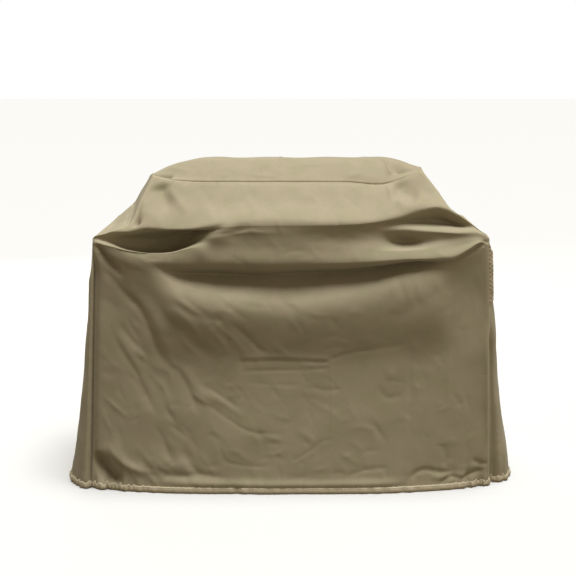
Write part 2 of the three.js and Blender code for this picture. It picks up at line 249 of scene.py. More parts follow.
def back_lines():
    """The back panel's lines: the same rows as the front's, with a shallower swag."""
    heights = [0.775, 0.815, 0.842, 0.866]
    swag = [(0.318, 0.7), (0.3, 0.775), (0.326, 0.812), (0.318, 0.862)]
    lines = [skirt_line(HEM_EDGE, 1), skirt_line(0.24, 1), skirt_line(0.46, 1)]
    for edge, (y, z) in zip(heights, swag):
        end_y = seam_y(edge)
        lines.append([
            (a * seam_x(edge), end_y + (y - end_y) * (1 - a * a), edge + (z - edge) * (1 - abs(a) ** 3))
            for a in np.linspace(-1, 1, 9)
        ])
    upper = [(0.0, 0.288, 0.892), (0.34, 0.286, 0.906), (0.67, 0.29, 0.922), (1.0, 0.292, 0.936)]
    for share, y, z in upper:
        left = between((-SHELF_X, SHELF_Y, SHELF), STEP_BACK_LEFT, share)
        right = between((SHELF_X, SHELF_Y, SHELF), STEP_BACK_RIGHT, share)
        lines.append([bowed(left, right, a, y, z) for a in np.linspace(-1, 1, 9)])
    for share in (0.5, 1.0):
        left = between(STEP_BACK_LEFT, HOOD_BACK_LEFT, share)
        right = between(STEP_BACK_RIGHT, HOOD_BACK_RIGHT, share)
        lines.append([bowed(left, right, a, left[1], right[2]) for a in np.linspace(-1, 1, 9)])
    return lines


def smooth(x, low, high):
    t = np.clip((x - low) / (high - low), 0, 1)
    return t * t * (3 - 2 * t)


def face_grid(lines, columns, sharp=()):
    """Rows of points from the hem to the roof seam, each from the left seam to the right one.

    sharp lists the edges of hollows: (line number, from x, to x, softness there).
    """
    across = np.linspace(0, 1, columns + 1)
    sampled = []
    for line in lines:
        points = np.array(line, float)
        x = points[0, 0] + (points[-1, 0] - points[0, 0]) * across
        yz = curve(points, x)
        sampled.append(np.column_stack([x, yz]))
    sampled = np.array(sampled)
    softness = np.ones(sampled.shape[:2])
    for line, start, end, soft in sharp:
        x = sampled[line, :, 0]
        begun = smooth(x, start - SHARP_FADE, start + SHARP_FADE)
        over = smooth(x, end - SHARP_FADE, end + SHARP_FADE)
        inside = begun * (1 - over)
        softness[line] -= (1 - soft) * inside
    return loft(sampled, LINE_STEPS, softness)


SHARP_FADE = 0.03
TUCK, CREST, OVER_HOLLOWS = 4, 6, 10  # the numbers of three of the front's lines
SHARP_EDGES = [
    (TUCK, -0.42, 0.56, 0.3),
    (CREST, -0.64, -0.32, 0.12),
    (CREST, 0.28, 0.46, 0.35),
    (OVER_HOLLOWS, -0.54, -0.3, 0.4),
    (OVER_HOLLOWS, 0.38, 0.54, 0.95),
]
front = face_grid(FRONT_LINES, COLUMNS, SHARP_EDGES)
back = face_grid(back_lines(), COLUMNS)


# ---- the band between the front and the back -------------------------------------------------

def around(grid):
    """The edge of a front or back grid: up its left seam, along the roof seam and down its right seam."""
    return np.concatenate([grid[:, 0], grid[-1, 1:-1], grid[::-1, -1]])


def band_grid(front, back):
    """Rows of points from the left hem over the hood to the right hem, each from front to back."""
    v = np.linspace(0, 1, DEPTH_COLUMNS + 1)[None, :, None]
    grid = around(front)[:, None] * (1 - v) + around(back)[:, None] * v
    along = abs(2 * v[..., 0] - 1)
    x, y, z = grid[..., 0], grid[..., 1], grid[..., 2]
    row = np.arange(len(grid))
    row = np.minimum(row, row[::-1])[:, None]
    # the skirt's sides swell out to the hem
    drop = np.clip(1 - z / SHELF, 0, 1)
    high = SIDE_SWELL_HIGH * (1 - np.exp(-SIDE_SWELL_RATE * drop))
    low = (1 - SIDE_SWELL_HIGH) * drop ** 2
    swell = (HEM_FULL_X - HEM_SEAM_X) * (high + low) * (1 - along ** 5)
    x += np.where(row <= SHELF_ROW, np.sign(x) * swell, 0)
    # the shoulders sag between their seams
    z -= np.where((row > SHELF_ROW) & (row < STEP_ROW), SHOULDER_SAG * (1 - along ** 2), 0)
    # the roof rises from its seams to its level middle
    level = 1 - np.clip((abs(x) - ROOF_FLAT_X) / (HOOD_X - ROOF_FLAT_X), 0, 1) ** 2
    fall = np.clip((along - ROOF_LEVEL) / (1 - ROOF_LEVEL), 0, 1)
    z += np.where(row >= ROWS, (ROOF - z) * level * (1 - fall ** 2), 0)
    return grid


band = band_grid(front, back)


# ---- one sewn skin, settled as cloth ---------------------------------------------------------

HOLD = 0.55  # how firmly the folds keep their places
SEAM_HOLD = 0.85
LOW_HOLD = 0.8  # in the rows just above the hem
GROWTH = 0.012  # the share by which the cloth is longer than the form under it
SETTLE_FRAMES = 14


def grid_faces(index):
    return np.stack([index[:-1, :-1], index[:-1, 1:], index[1:, 1:], index[1:, :-1]], -1).reshape(-1, 4)


def make(name, points, faces):
    mesh = bpy.data.meshes.new(name)
    mesh.from_pydata(np.asarray(points, float).reshape(-1, 3).tolist(), [], np.asarray(faces).tolist())
    mesh.update()
    obj = bpy.data.objects.new(name, mesh)
    bpy.context.scene.collection.objects.link(obj)
    mesh.polygons.foreach_set("use_smooth", np.ones(len(mesh.polygons), bool))
    return obj


front_index = np.arange(front[..., 0].size).reshape(front.shape[:2])
back_index = front_index + front_index.size
band_index = np.arange(band[..., 0].size).reshape(band.shape[:2]) + 2 * front_index.size
band_index[:, 0] = around(front_index)
band_index[:, -1] = around(back_index)


def hold_weights(count):
    weight = np.full(count, HOLD)
    for index in (front_index, back_index):
        weight[index[0]] = 1
        weight[index[1:4]] = LOW_HOLD
        weight[around(index)] = SEAM_HOLD
        for edge in (0, -1):
            weight[index[0, edge]] = 1
            weight[index[SHELF_ROW, edge]] = 1
            weight[index[-1, edge]] = 1
    weight[band_index[0]] = 1
    weight[band_index[-1]] = 1
    return weight


def settle(front, back, band):
    """The three grids after the cloth has relaxed on its form: a short simulation, applied."""
    places = np.zeros((band_index.max() + 1, 3))
    places[band_index] = band
    places[front_index] = front
    places[back_index] = back
    faces = np.concatenate([
        grid_faces(front_index), grid_faces(back_index)[:, ::-1], grid_faces(band_index)[:, ::-1],
    ])
    used, faces = np.unique(faces, return_inverse=True)
    skin = make("skin", places[used], faces.reshape(-1, 4))
    group = skin.vertex_groups.new(name="hold")
    weight = hold_weights(len(places))[used]
    for value in np.unique(weight):
        group.add(np.nonzero(weight == value)[0].tolist(), float(value), "REPLACE")
    modifier = skin.modifiers.new("cloth", "CLOTH")
    settings = modifier.settings
    settings.quality = 5
    settings.mass = 0.05
    settings.tension_stiffness = 40
    settings.compression_stiffness = 40
    settings.shear_stiffness = 20
    settings.bending_stiffness = 6
    settings.tension_damping = 10
    settings.compression_damping = 10
    settings.shear_damping = 10
    settings.bending_damping = 0.5
    settings.air_damping = 2
    settings.vertex_group_mass = "hold"
    settings.pin_stiffness = 1.0
    settings.shrink_min = -GROWTH
    modifier.collision_settings.use_collision = False
    modifier.point_cache.frame_start = 1
    modifier.point_cache.frame_end = SETTLE_FRAMES
    scene = bpy.context.scene
    for number in range(1, SETTLE_FRAMES + 1):
        scene.frame_set(number)
    shape = skin.evaluated_get(bpy.context.evaluated_depsgraph_get()).to_mesh()
    settled = np.zeros(len(used) * 3)
    shape.vertices.foreach_get("co", settled)
    scene.frame_set(1)
    bpy.data.objects.remove(skin)
    places[used] = settled.reshape(-1, 3)
    return places[front_index], places[back_index], places[band_index]


def softened(moves, passes=7):
    """The moves of a grid's points without their cell by cell ripple; its edges keep theirs."""
    for _ in range(passes):
        moves[1:-1] = (moves[:-2] + 2 * moves[1:-1] + moves[2:]) / 4
        moves[:, 1:-1] = (moves[:, :-2] + 2 * moves[:, 1:-1] + moves[:, 2:]) / 4
    return moves


formed = (front, back, band)
front, back, band = (a + softened(b - a) for a, b in zip(formed, settle(*formed)))
band[:, 0] = around(front)
band[:, -1] = around(back)


# ---- finer grids -----------------------------------------------------------------------------

MOST_BEND = 0.15  # the most that an added point may leave the chord, as a share of the chord


def halved(grid, axis):
    """The grid with a point added between each two, on a smooth curve through them."""
    g = np.moveaxis(grid, axis, 0)
    wide = np.concatenate([[2 * g[0] - g[1]], g, [2 * g[-1] - g[-2]]])
    fine = np.empty((2 * len(g) - 1, *g.shape[1:]))
    fine[::2] = g
    chord = wide[2:-1] - wide[1:-2]
    bend = (wide[1:-2] + wide[2:-1] - wide[:-3] - wide[3:]) / 16
    most = MOST_BEND * np.linalg.norm(chord, axis=-1, keepdims=True)
    bend *= np.minimum(1, most / np.maximum(np.linalg.norm(bend, axis=-1, keepdims=True), 1e-9))
    fine[1::2] = (wide[1:-2] + wide[2:-1]) / 2 + bend
    return np.moveaxis(fine, 0, axis)


def put_around(grid, edge):
    rows, columns = grid.shape[:2]
    grid[:, 0] = edge[:rows]
    grid[-1] = edge[rows - 1:rows + columns - 1]
    grid[:, -1] = edge[::-1][:rows]


front, back, band = (halved(halved(grid, 0), 1) for grid in (front, back, band))
put_around(front, band[:, 0])
put_around(back, band[:, -1])
ROWS, SHELF_ROW, STEP_ROW = 2 * ROWS, 2 * SHELF_ROW, 2 * STEP_ROW
COLUMNS, DEPTH_COLUMNS = 2 * COLUMNS, 2 * DEPTH_COLUMNS


def unit(vectors):
    return vectors / np.linalg.norm(vectors, axis=-1, keepdims=True)


def normals(grid):
    """Unit normals, outwards on the front and inwards on the back and the band."""
    normal = np.cross(np.gradient(grid, axis=1), np.gradient(grid, axis=0))
    return normal / np.maximum(np.linalg.norm(normal, axis=2, keepdims=True), 1e-9)


def summed(steps):
    """How far along each point is, from the lengths of the steps between them."""
    return np.concatenate([[0], np.cumsum(steps)])


def threads(grid):
    """Each point's place on the flat cloth: metres along its weft from the middle, and up its warp."""
    across = summed(np.linalg.norm(np.diff(grid, axis=1), axis=2).mean(axis=0))
    up = summed(np.linalg.norm(np.diff(grid, axis=0), axis=2).mean(axis=1))
    return np.stack(np.meshgrid(across - across[-1] / 2, up), -1)


# ---- creases ---------------------------------------------------------------------------------

CURVE_STEPS = 6  # straight legs from each point of a crease to the next
CREASE_REACH = 3  # a crease is worked out as far as this many of its widths
PINCH = 1.6  # how fast a pinched crease falls off


def away_from(points, plane):
    """The distance from each point of a plane to a smooth curve, and how far along the curve it is."""
    points = np.array(points, float)
    steps = np.linspace(0, len(points) - 1, CURVE_STEPS * (len(points) - 1) + 1)
    path = curve(np.column_stack([np.arange(len(points)), points]), steps)
    nearest = np.full(plane.shape[:-1], 1e9)
    share = np.zeros(plane.shape[:-1])
    for i in range(len(path) - 1):
        leg = path[i + 1] - path[i]
        part = np.clip(((plane - path[i]) @ leg) / (leg @ leg), 0, 1)
        away = np.linalg.norm(plane - path[i] - part[..., None] * leg, axis=-1)
        nearer = away < nearest
        nearest = np.where(nearer, away, nearest)
        share = np.where(nearer, (i + part) / (len(path) - 1), share)
    return nearest, share


def crease(plane, points, height, width, sharp=0.5, fade=(0.3, 0.3)):
    """A fold along a curve, which fades over a share of its length at each end.

    Its height is positive outwards; sharp is 0 for round and 1 for pinched.
    """
    reach = CREASE_REACH * width
    low = np.min(points, axis=0) - reach
    high = np.max(points, axis=0) + reach
    near = np.all((plane > low) & (plane < high), axis=-1)
    lift = np.zeros(plane.shape[:-1])
    away, share = away_from(points, plane[near])
    fold = (1 - sharp) * np.exp(-(away / width) ** 2) + sharp * np.exp(-PINCH * away / width)
    lift[near] = height * smooth(share, 0, fade[0]) * smooth(1 - share, 0, fade[1]) * fold
    return lift


def rumple(plane, size, seed, waves=22):
    """Soft uneven swells about as wide as size, from -1 to 1 for the most part."""
    draw = np.random.default_rng(seed)
    total = 0
    for _ in range(waves):
        angle = draw.uniform(0, math.tau)
        k = math.tau / (size * draw.uniform(1.3, 3.0))
        total = total + np.sin(k * (plane @ [math.cos(angle), math.sin(angle)]) + draw.uniform(0, math.tau))
    return total / math.sqrt(waves)


def scattered(plane, count, seed, height, width, length, lean=0.0, spread=math.pi / 2):
    """Short creases, some out and some in, at chance places; lean is their usual direction."""
    draw = np.random.default_rng(seed)
    low, high = plane.min(axis=(0, 1)), plane.max(axis=(0, 1))
    lift = np.zeros(plane.shape[:-1])
    for _ in range(count):
        middle = draw.uniform(low, high)
        angle = lean + draw.uniform(-spread, spread)
        half = length * draw.uniform(0.5, 1.3) / 2
        along = np.array([math.cos(angle), math.sin(angle)])
        bow = draw.uniform(-0.25, 0.25) * half * np.array([-along[1], along[0]])
        points = [middle - half * along, middle + bow, middle + half * along]
        up = height * draw.uniform(0.5, 1.2) * (1 if draw.random() < 0.5 else -1)
        lift += crease(plane, points, up, width * draw.uniform(0.8, 1.5), draw.uniform(0.2, 0.7), (0.5, 0.5))
    return lift


# Each crease of the front: points (x, z), height, width, sharpness, and how far its ends fade.
FRONT_CREASES = [
    # from the left shelf corner down into the skirt
    ([(-0.662, 0.872), (-0.628, 0.822), (-0.594, 0.784), (-0.55, 0.748)], -0.036, 0.013, 0.5, (0.05, 0.6)),
    ([(-0.655, 0.815), (-0.61, 0.755), (-0.555, 0.69), (-0.49, 0.64)], -0.009, 0.014, 0.5),
    ([(-0.6, 0.745), (-0.515, 0.65), (-0.478, 0.568), (-0.455, 0.5), (-0.4, 0.435)], -0.009, 0.012, 0.7),
    ([(-0.56, 0.735), (-0.47, 0.64), (-0.43, 0.54), (-0.37, 0.43)], 0.007, 0.022, 0.2),
    ([(-0.598, 0.612), (-0.545, 0.54), (-0.502, 0.492), (-0.472, 0.42)], -0.009, 0.011, 0.7),
    ([(-0.61, 0.585), (-0.56, 0.5), (-0.52, 0.42), (-0.485, 0.33)], 0.007, 0.024, 0.2),
    ([(-0.635, 0.61), (-0.58, 0.508), (-0.53, 0.424), (-0.49, 0.33), (-0.45, 0.262)], -0.008, 0.014, 0.6),
    ([(-0.425, 0.45), (-0.385, 0.43), (-0.34, 0.345), (-0.32, 0.27)], -0.007, 0.014, 0.5),
    ([(-0.4, 0.482), (-0.33, 0.38), (-0.27, 0.3)], 0.006, 0.02, 0.2),
    ([(-0.465, 0.72), (-0.43, 0.63), (-0.375, 0.572), (-0.3, 0.508), (-0.24, 0.452)], -0.008, 0.026, 0.2),
    ([(-0.43, 0.712), (-0.345, 0.645), (-0.265, 0.62), (-0.215, 0.618)], -0.006, 0.016, 0.5),
    ([(-0.22, 0.622), (-0.16, 0.568), (-0.115, 0.52), (-0.07, 0.487)], -0.006, 0.009, 0.8),
    ([(-0.32, 0.395), (-0.235, 0.342), (-0.17, 0.296)], -0.0055, 0.009, 0.8),
    ([(-0.3, 0.378), (-0.225, 0.318), (-0.15, 0.262)], 0.005, 0.013, 0.4),
    ([(-0.355, 0.328), (-0.285, 0.312), (-0.22, 0.268), (-0.15, 0.225), (-0.08, 0.214), (0.0, 0.214)],
     -0.0045, 0.009, 0.8),
    ([(-0.255, 0.228), (-0.245, 0.165), (-0.218, 0.112), (-0.11, 0.098), (-0.045, 0.11)],
     -0.0028, 0.007, 0.8),
    ([(-0.462, 0.24), (-0.43, 0.15), (-0.385, 0.085)], -0.007, 0.02, 0.3),
    ([(-0.385, 0.165), (-0.34, 0.092), (-0.3, 0.06)], -0.008, 0.016, 0.5),
    ([(-0.48, 0.092), (-0.41, 0.062), (-0.3, 0.066), (-0.21, 0.052)], -0.007, 0.013, 0.4),
    ([(-0.52, 0.13), (-0.43, 0.104), (-0.33, 0.11)], 0.007, 0.026, 0.2),
    # the corner that is rolled in at the lower left
    ([(-0.692, 0.138), (-0.668, 0.09), (-0.636, 0.048), (-0.585, 0.016)], -0.066, 0.026, 0.25, (0.3, 0.3)),
    ([(-0.64, 0.18), (-0.6, 0.12), (-0.55, 0.085), (-0.48, 0.062)], 0.016, 0.018, 0.3),
    ([(-0.54, 0.046), (-0.3, 0.036), (0.0, 0.034), (0.3, 0.036), (0.42, 0.04)], 0.012, 0.014, 0.2),
    # from the right shelf corner
    ([(0.664, 0.882), (0.64, 0.866), (0.6, 0.842), (0.55, 0.82), (0.5, 0.812)],
     -0.016, 0.007, 0.4, (0.05, 0.6)),
    ([(0.64, 0.85), (0.5, 0.8), (0.365, 0.745), (0.2, 0.69)], 0.006, 0.026, 0.2),
    ([(0.64, 0.8), (0.52, 0.72), (0.4, 0.65), (0.3, 0.62)], -0.005, 0.03, 0.2),
    # creases from being packed flat
    ([(-0.19, 0.468), (-0.08, 0.47), (0.03, 0.468), (0.135, 0.466)], -0.0045, 0.006, 0.8, (0.1, 0.05)),
    ([(-0.18, 0.482), (-0.02, 0.484), (0.13, 0.478)], 0.003, 0.009, 0.4, (0.1, 0.05)),
    ([(-0.18, 0.432), (-0.05, 0.436), (0.05, 0.438), (0.135, 0.444)], -0.004, 0.006, 0.8, (0.1, 0.05)),
    ([(-0.165, 0.396), (-0.06, 0.386), (0.06, 0.384)], -0.0025, 0.008, 0.6),
    ([(0.135, 0.474), (0.2, 0.497), (0.287, 0.512), (0.402, 0.528)], -0.005, 0.007, 0.9, (0.05, 0.15)),
    ([(0.139, 0.49), (0.14, 0.35), (0.14, 0.15)], 0.0028, 0.006, 0.9),
    ([(0.412, 0.528), (0.408, 0.44), (0.412, 0.29), (0.408, 0.175)], -0.0028, 0.006, 0.9),
    ([(0.4, 0.3), (0.41, 0.262)], -0.003, 0.008, 0.6),
    ([(0.545, 0.56), (0.543, 0.4), (0.54, 0.25)], 0.0022, 0.006, 0.8),
    ([(0.06, 0.385), (0.115, 0.366), (0.19, 0.372)], -0.0035, 0.009, 0.8),
    ([(-0.03, 0.106), (0.03, 0.132), (0.08, 0.164), (0.112, 0.19), (0.17, 0.19)], -0.0028, 0.008, 0.8),
    ([(0.175, 0.06), (0.27, 0.086), (0.35, 0.092)], -0.004, 0.01, 0.7),
    ([(0.29, 0.39), (0.33, 0.34), (0.4, 0.35)], -0.0035, 0.012, 0.5),
    ([(0.52, 0.18), (0.54, 0.12), (0.53, 0.08)], -0.005, 0.014, 0.4),
    # over the gathered hem at the lower right
    ([(0.402, 0.03), (0.432, 0.068), (0.47, 0.078), (0.53, 0.066), (0.6, 0.07)], -0.009, 0.01, 0.6),
    ([(0.48, 0.052), (0.56, 0.044), (0.64, 0.056)], 0.006, 0.01, 0.4),
    ([(0.515, 0.024), (0.555, 0.046), (0.605, 0.04)], -0.014, 0.008, 0.6),
    ([(0.585, 0.026), (0.635, 0.054), (0.69, 0.06)], -0.014, 0.009, 0.6),
    ([(0.63, 0.11), (0.665, 0.086), (0.7, 0.088)], -0.009, 0.009, 0.5),
    # on the front of the hood
    ([(-0.45, 1.07), (-0.43, 1.015), (-0.4, 0.96)], -0.032, 0.036, 0.1, (0.2, 0.5)),
    ([(-0.44, 1.07), (-0.385, 1.01), (-0.34, 0.96)], 0.013, 0.018, 0.3, (0.2, 0.4)),
    ([(-0.498, 1.02), (-0.505, 0.985), (-0.5, 0.955)], 0.008, 0.012, 0.3),
    ([(-0.534, 0.975), (-0.526, 0.948), (-0.515, 0.932)], -0.04, 0.011, 0.5, (0.1, 0.1)),
    ([(-0.5, 0.992), (-0.47, 0.962), (-0.43, 0.94)], 0.005, 0.016, 0.3),
    ([(0.345, 1.06), (0.39, 1.045), (0.44, 1.015)], -0.032, 0.03, 0.2, (0.3, 0.3)),
    ([(0.34, 1.012), (0.4, 0.998), (0.47, 1.01)], 0.012, 0.018, 0.2),
    ([(0.325, 1.068), (0.34, 1.035), (0.338, 1.0)], 0.008, 0.009, 0.7),
    ([(-0.3, 1.04), (-0.27, 1.0), (-0.24, 0.975)], -0.004, 0.016, 0.3),
    ([(0.02, 1.04), (0.08, 1.005), (0.14, 0.98)], 0.0035, 0.018, 0.3),
    ([(0.18, 1.04), (0.215, 1.0), (0.26, 0.97)], -0.0035, 0.016, 0.3),
]

CREASE_SHARE = 0.6
front_plane = front[..., [0, 2]]
front_lift = CREASE_SHARE * sum(crease(front_plane, *row) for row in FRONT_CREASES)
front_lift += 0.0016 * rumple(front_plane, 0.11, 3)
front_lift += scattered(front_plane, 150, 5, 0.0016, 0.011, 0.12, lean=-0.9, spread=0.8)
front_lift += scattered(front_plane, 260, 6, 0.0012, 0.007, 0.08)
# slanting pulls on the left half of the skirt
pulled = smooth(-front_plane[..., 0], -0.05, 0.25) * smooth(0.8 - front_plane[..., 1], 0, 0.12)
front_lift += pulled * scattered(front_plane, 170, 7, 0.0026, 0.009, 0.17, lean=-0.95, spread=0.35)

back_threads = threads(back)
back_lift = 0.003 * rumple(back_threads, 0.16, 11)
back_lift += scattered(back_threads, 60, 13, 0.0062, 0.015, 0.26, lean=-1.1, spread=0.7)
back_lift += scattered(back_threads, 150, 14, 0.0026, 0.009, 0.13)
# creases of the back from being packed flat, level and upright
PACKED_HEIGHT, PACKED_WIDTH, PACKED_SHARP = 0.003, 0.006, 0.9
for level, upright in ((0.25, -0.4), (0.52, 0.0), (0.79, 0.4)):
    across = [(-0.62, level), (0.0, level + 0.006), (0.62, level)]
    up = [(upright, 0.05), (upright + 0.004, 0.5), (upright, 0.85)]
    back_lift += crease(back_threads, across, -PACKED_HEIGHT, PACKED_WIDTH, PACKED_SHARP)
    back_lift += crease(back_threads, up, PACKED_HEIGHT, PACKED_WIDTH, PACKED_SHARP)

band_threads = threads(band)
band_lift = 0.0022 * rumple(band_threads, 0.13, 21)
band_lift += scattered(band_threads, 60, 23, 0.0034, 0.014, 0.2, lean=1.4, spread=0.6)
band_lift += scattered(band_threads, 90, 24, 0.0016, 0.009, 0.11)
# folds of the roof beside its ends: points (x, y)
ROOF_CREASES = [
    ([(0.318, 0.06), (0.33, -0.05), (0.346, -0.15)], 0.01, 0.012, 0.6, (0.4, 0.1)),
    ([(0.345, 0.03), (0.372, -0.06), (0.398, -0.138)], -0.036, 0.024, 0.4, (0.4, 0.1)),
    ([(-0.47, -0.13), (-0.445, -0.145), (-0.405, -0.155)], -0.03, 0.012, 0.4, (0.1, 0.3)),
    ([(-0.44, -0.06), (-0.395, -0.11), (-0.34, -0.14)], 0.005, 0.02, 0.3),
    ([(-0.3, 0.1), (-0.1, 0.06), (0.15, 0.08)], -0.003, 0.01, 0.6),
    ([(-0.04, -0.15), (-0.036, 0.0), (-0.04, 0.18)], 0.003, 0.006, 0.8),
]
roof_rows = slice(ROWS, ROWS + COLUMNS + 1)
band_lift[roof_rows] += sum(crease(band[roof_rows][..., :2], *row) for row in ROOF_CREASES)

EDGE_CALM = 5  # columns over which the creases fade out towards a seam


def from_ends(count):
    """How many steps each of count points is from the nearer end of its row."""
    number = np.arange(count)
    return np.minimum(number, number[::-1])


def calm(grid):
    """For each column of a grid, 0 on its side seams and 1 away from them."""
    return smooth(from_ends(grid.shape[1]), 0, EDGE_CALM)


roof_calm = smooth(np.arange(ROWS + 1)[::-1], 0, EDGE_CALM)[:, None]
front = front + normals(front) * (front_lift * calm(front) * roof_calm)[..., None]
back = back - normals(back) * (back_lift * calm(back) * roof_calm)[..., None]
row_from_hem = from_ends(len(band))[:, None]
shelf_calm = smooth(abs(row_from_hem - SHELF_ROW), 0, EDGE_CALM)
step_calm = smooth(abs(row_from_hem - STEP_ROW), 0, EDGE_CALM)
band = band - normals(band) * (band_lift * calm(band) * shelf_calm * step_calm)[..., None]


# ---- seams: the cloth turns in to them -------------------------------------------------------

def move_rows(grid, edge, moves, fade):
    """Moves each row by its own move, times the fade of each column from that edge (0 or -1)."""
    if edge == -1:
        fade = fade[::-1]
    grid += moves[:, None] * fade[None, :, None]


def pull_in(grid, edge, moves, reach):
    """Moves the ends of the rows; the move fades over reach columns."""
    move_rows(grid, edge, moves, np.exp(-(np.arange(grid.shape[1]) / reach) ** 2))


def stand_proud(grid, edge, moves, reach):
    """Moves the columns next to the seam, but not the seam itself."""
    steps = np.arange(grid.shape[1])
    move_rows(grid, edge, moves, np.where(steps > 0, np.exp(-((steps - 1) / reach) ** 2), 0))


SEAM_DIP = 0.0025
# along the skirt a seam lies further in: how far, up to what height, and over what height that fades
LEFT_DIP, LEFT_DIP_TOP, LEFT_DIP_FADE = 0.018, SHELF - 0.02, 0.12
RIGHT_DIP, RIGHT_DIP_TOP, RIGHT_DIP_FADE = 0.03, 0.62, 0.14
BACK_DIP = 0.003
LEFT_PROUD = 0.009  # how far the left side stands out beside the front seam
RIGHT_PROUD = 0.25  # the same for the front at its right end, as a share of the dip
LEFT_PROUD_REACH, RIGHT_PROUD_REACH = 5, 2.5
ABRUPT, GENTLE, PLAIN = 0.7, 3.5, 1.2  # columns over which the cloth turns in to a seam
ROOF_DIP = 0.0022
ROOF_DIP_FADE = 0.03
CROSS_SLANT = 0.6  # how steeply the seams across the band dip
LEFT_LEAN, RIGHT_LEAN, BACK_LEAN = 0.35, -0.15, 0.95  # how far a front seam dips in along X and Y


def backward(amounts):
    """A move towards the back for each row."""
    return amounts[:, None] * [0.0, 1.0, 0.0]


height = band[:, 0, 2]
half = len(band) // 2
left = np.arange(len(band)) < half
on_roof = np.zeros(len(band), bool)
on_roof[roof_rows] = True
on_skirt = smooth(LEFT_DIP_TOP - height, 0, LEFT_DIP_FADE)
on_low_skirt = smooth(RIGHT_DIP_TOP - height, 0, RIGHT_DIP_FADE)
depth = np.where(left, SEAM_DIP + LEFT_DIP * on_skirt, SEAM_DIP + RIGHT_DIP * on_low_skirt)
depth = np.where(on_roof, 0, depth)
inward = np.column_stack([
    np.where(left, LEFT_LEAN, RIGHT_LEAN), np.full(len(band), BACK_LEAN), np.zeros(len(band)),
])
front_moves = inward * depth[:, None]
edge_rows = ROWS + 1
pull_in(front, 0, front_moves[:edge_rows], GENTLE)
pull_in(front, -1, front_moves[::-1][:edge_rows], ABRUPT)
pull_in(band[:half], 0, front_moves[:half], ABRUPT)
pull_in(band[half:], 0, front_moves[half:], GENTLE)
stand_proud(band[:half], 0, backward(-LEFT_PROUD * on_skirt[:half]), LEFT_PROUD_REACH)
stand_proud(front, -1, backward(-RIGHT_PROUD * depth[::-1][:edge_rows]), RIGHT_PROUD_REACH)
back_moves = inward * [1, -1, 1] * np.where(on_roof, 0, SEAM_DIP + BACK_DIP * on_skirt)[:, None]
pull_in(back, 0, back_moves[:edge_rows], PLAIN)
pull_in(back, -1, back_moves[::-1][:edge_rows], PLAIN)
pull_in(band, -1, back_moves, PLAIN)

# the roof's seams, and the seams at the foot of the hood and over the shelves
for column in (0, -1):
    share = smooth(HOOD_X - abs(band[roof_rows, column, :1]), 0, ROOF_DIP_FADE)
    band[roof_rows, column] += np.array([0, 0, -ROOF_DIP]) * share
across_dip = calm(band)[:, None] * SEAM_DIP
for row in (SHELF_ROW, STEP_ROW):
    for side, place in ((1, row), (-1, len(band) - 1 - row)):
        band[place] += across_dip * np.array([side, 0, -CROSS_SLANT])

put_around(front, band[:, 0])
put_around(back, band[:, -1])


# ---- the gathered hem ------------------------------------------------------------------------

GATHER = 0.19  # how far the elastic reaches along the hem on each side of a corner
GATHER_FULL, GATHER_END = 0.55 * GATHER, 1.3 * GATHER
GATHER_FADE = 0.07  # how far up the panels the gathers run
GATHER_POWER = 1.3
GATHER_ROWS = 34


def bottom_edge():
    """The skin's bottom edge: a loop along the front, the right, the back and the left."""
    return np.concatenate([front[0, :-1], band[-1, :-1], back[0, :0:-1], band[0, :0:-1]])


def back_to_start(ring):
    """A loop's values, with the first one again at the end."""
    return np.concatenate([ring, ring[:1]])


loop = bottom_edge()
loop_parts = np.cumsum([0, COLUMNS, DEPTH_COLUMNS, COLUMNS, DEPTH_COLUMNS])


def around_loop(points):
    """Distances along a closed loop, and its length."""
    steps = np.linalg.norm(np.roll(points, -1, axis=0) - points, axis=1)
    return summed(steps)[:-1], steps.sum()


def loop_out(points, passes=6):
    """Level unit vectors out of the loop, smoothed round its corners."""
    tangent = np.roll(points, -1, axis=0) - np.roll(points, 1, axis=0)
    for _ in range(passes):
        tangent = (np.roll(tangent, 1, axis=0) + 2 * tangent + np.roll(tangent, -1, axis=0)) / 4
    return unit(np.column_stack([tangent[:, 1], -tangent[:, 0], np.zeros(len(points))]))


loop_s, loop_length = around_loop(loop)
corner_s = loop_s[loop_parts[:4]]


def gathered(s):
    """1 beside a corner, falling to 0 where the elastic ends."""
    gap = abs((s[:, None] - corner_s[None, :] + loop_length / 2) % loop_length - loop_length / 2).min(axis=1)
    return 1 - smooth(gap, GATHER_FULL, GATHER_END)


def waves_along(s, length, seed, count=5):
    """An uneven ripple along the loop, whose waves are about length long; it closes on itself."""
    draw = np.random.default_rng(seed)
    total = 0
    for _ in range(count):
        turns = round(loop_length / (length * draw.uniform(0.75, 1.4)))
        total = total + np.sin(s * math.tau * turns / loop_length + draw.uniform(0, math.tau))
    return total / math.sqrt(count)


def ripple(s, length, seed, slack, more):
    """A ripple of height slack, and by more where the elastic gathers the hem."""
    return waves_along(s, length, seed) * (slack + more * gathered(s))


loop_ripple = ripple(loop_s, length=0.034, seed=31, slack=0.0006, more=0.0036)
loop_move = loop_out(loop) * loop_ripple[:, None]


def side_of(values, i):
    """The i-th side of the loop, with both its ends."""
    return back_to_start(values)[loop_parts[i]:loop_parts[i + 1] + 1]


def gather(grid, moves):
    """Passes the hem's ripple up into the rows of a panel; its first row is at the hem."""
    hem_height = grid[0, :, 2:].copy()
    for row in grid[:GATHER_ROWS]:
        rise = np.maximum(row[:, 2:] - hem_height, 0)
        row += moves * np.exp(-(rise / GATHER_FADE) ** GATHER_POWER)


gather(front, side_of(loop_move, 0))
gather(band[::-1], side_of(loop_move, 1))
gather(back, side_of(loop_move, 2)[::-1])
gather(band, side_of(loop_move, 3)[::-1])


# ---- materials -------------------------------------------------------------------------------

WAVE_RADIANS = 20  # in one unit of the wave texture
WEAVE_DEEP = 0.0006
PALER = 1.55  # how much paler the cloth gets where it is worn


